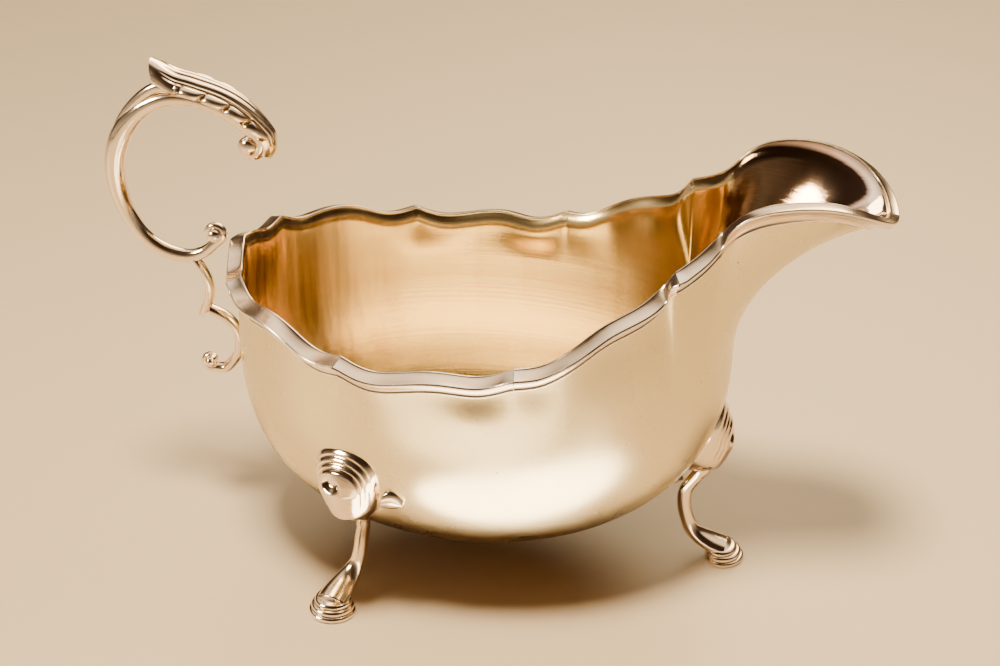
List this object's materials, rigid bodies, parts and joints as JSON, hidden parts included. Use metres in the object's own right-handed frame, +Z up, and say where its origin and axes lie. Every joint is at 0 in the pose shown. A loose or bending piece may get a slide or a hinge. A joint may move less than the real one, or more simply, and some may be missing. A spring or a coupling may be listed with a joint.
{
  "type": "sauce boat",
  "caption": "Raised metal sauce boat with a long pouring lip, a shaped mitred rim border, a flying scroll handle with a leaf thumb rest, and shell-kneed legs.",
  "frame": {"origin": "bottom centre of the overall bounding box: the ground plane under the feet, midway between the handle's back and the tip of the lip, on the plane of symmetry", "axes": "+X towards the pouring lip, +Y towards the boat's left side seen from the handle, +Z up; the three soles lie on z = 0"},
  "size_m": [0.1798, 0.0884, 0.1198],
  "materials": {
    "border_back": "polished silver, rubbed bright on its edges",
    "border_left_lip": "polished silver, rubbed bright on its edges",
    "border_left_rear": "polished silver, rubbed bright on its edges",
    "border_left_shoulder": "polished silver, rubbed bright on its edges",
    "border_left_side": "polished silver, rubbed bright on its edges",
    "border_right_lip": "polished silver, rubbed bright on its edges",
    "border_right_rear": "polished silver, rubbed bright on its edges",
    "border_right_shoulder": "polished silver, rubbed bright on its edges",
    "border_right_side": "polished silver, rubbed bright on its edges",
    "bowl": "satin-polished sterling silver with fine wiping scratches",
    "handle_bracket": "bright polished cast silver",
    "handle_leaf": "bright polished cast silver",
    "handle_lower_scroll": "bright polished cast silver",
    "handle_scroll": "bright polished cast silver",
    "knee_front": "bright polished cast silver",
    "knee_rear_left": "bright polished cast silver",
    "knee_rear_right": "bright polished cast silver",
    "leg_front": "bright polished cast silver",
    "leg_rear_left": "bright polished cast silver",
    "leg_rear_right": "bright polished cast silver",
    "tab_front": "bright polished cast silver",
    "tab_rear_left": "bright polished cast silver",
    "tab_rear_right": "bright polished cast silver"
  },
  "bodies": {
    "root": {"border_back": "border_back", "border_left_lip": "border_left_lip", "border_left_rear": "border_left_rear", "border_left_shoulder": "border_left_shoulder", "border_left_side": "border_left_side", "border_right_lip": "border_right_lip", "border_right_rear": "border_right_rear", "border_right_shoulder": "border_right_shoulder", "border_right_side": "border_right_side", "bowl": "bowl", "handle_bracket": "handle_bracket", "handle_leaf": "handle_leaf", "handle_lower_scroll": "handle_lower_scroll", "handle_scroll": "handle_scroll", "knee_front": "knee_front", "knee_rear_left": "knee_rear_left", "knee_rear_right": "knee_rear_right", "leg_front": "leg_front", "leg_rear_left": "leg_rear_left", "leg_rear_right": "leg_rear_right", "tab_front": "tab_front", "tab_rear_left": "tab_rear_left", "tab_rear_right": "tab_rear_right"}
  },
  "joints": []
}
